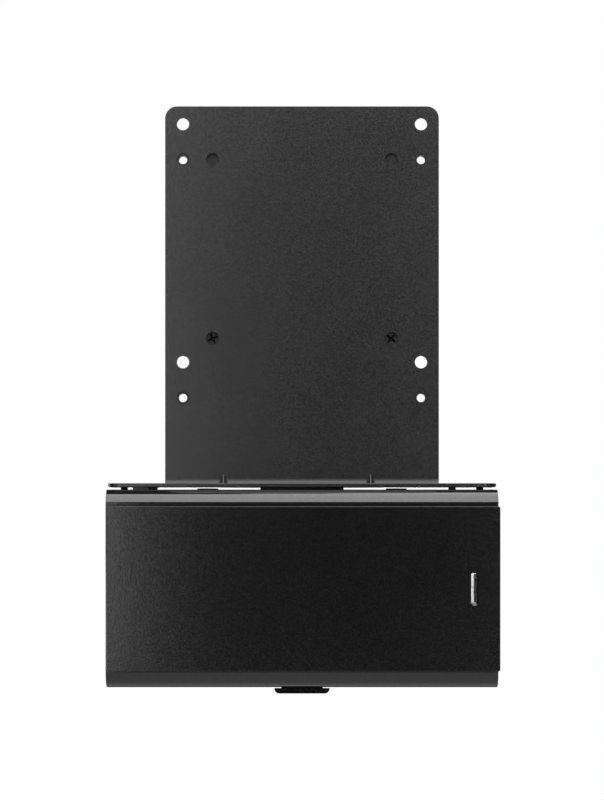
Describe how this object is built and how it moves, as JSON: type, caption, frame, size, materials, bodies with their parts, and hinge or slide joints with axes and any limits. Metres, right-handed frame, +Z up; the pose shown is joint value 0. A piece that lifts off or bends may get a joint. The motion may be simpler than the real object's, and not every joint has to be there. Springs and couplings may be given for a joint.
{
  "type": "mini computer mounting bracket with power supply sleeve",
  "caption": "Flat screw-on plate for a small desktop computer behind a monitor, with a box sleeve below that slides open to grip the power supply.",
  "frame": {"origin": "centre of the 100 x 100 mm clearance hole pattern, on the rear face of the mounting plate", "axes": "+Y points back towards the monitor or arm, +Z up, +X to the right seen from the front"},
  "size_m": [0.1592, 0.0546, 0.2448],
  "materials": {
    "plate_paint": "satin black powder coat, fine texture",
    "sleeve_paint": "satin black powder coat, smooth",
    "leaf_paint": "satin black",
    "panel_plastic": "finely textured matte black",
    "dark_zinc": "black zinc plate",
    "bright_zinc": "bright zinc plate",
    "black_nylon": "moulded, slightly glossy",
    "grip_rubber": "ribbed matte rubber"
  },
  "bodies": {
    "bracket": {"mounting_plate": "plate_paint", "upper_strap": "plate_paint", "lower_strap": "plate_paint", "clinch_nuts": "dark_zinc", "clinch_studs": "dark_zinc", "captive_screws": "dark_zinc", "holder_back": "plate_paint", "hanger_rivets": "dark_zinc", "guide_rivets": "dark_zinc", "guide_washers": "black_nylon", "back_strips": "grip_rubber"},
    "sleeve": {"holder_shell": "sleeve_paint", "upper_glides": "black_nylon", "lower_glides": "black_nylon", "shell_strips": "grip_rubber", "leaf_rivets": "dark_zinc"},
    "cover": {"front_panel": "panel_plastic", "lock_insert": "bright_zinc"},
    "release": {"latch_leaf": "leaf_paint", "brake_pad": "grip_rubber", "pad_rivet": "dark_zinc"}
  },
  "joints": [
    {"name": "sleeve_slide", "type": "slide", "parent": "bracket", "child": "sleeve", "axis": [0, -1, 0], "range_m": [0, 0.01]},
    {"name": "cover_slide", "type": "slide", "parent": "sleeve", "child": "cover", "axis": [1, 0, 0], "range_m": [0, 0.008]},
    {"name": "release_press", "type": "hinge", "parent": "sleeve", "child": "release", "pos_m": [0, -0.005, -0.1842], "axis": [1, 0, 0], "range_deg": [0, 4], "stiffness_Nm_per_rad": 1, "springref_deg": -2.86}
  ]
}
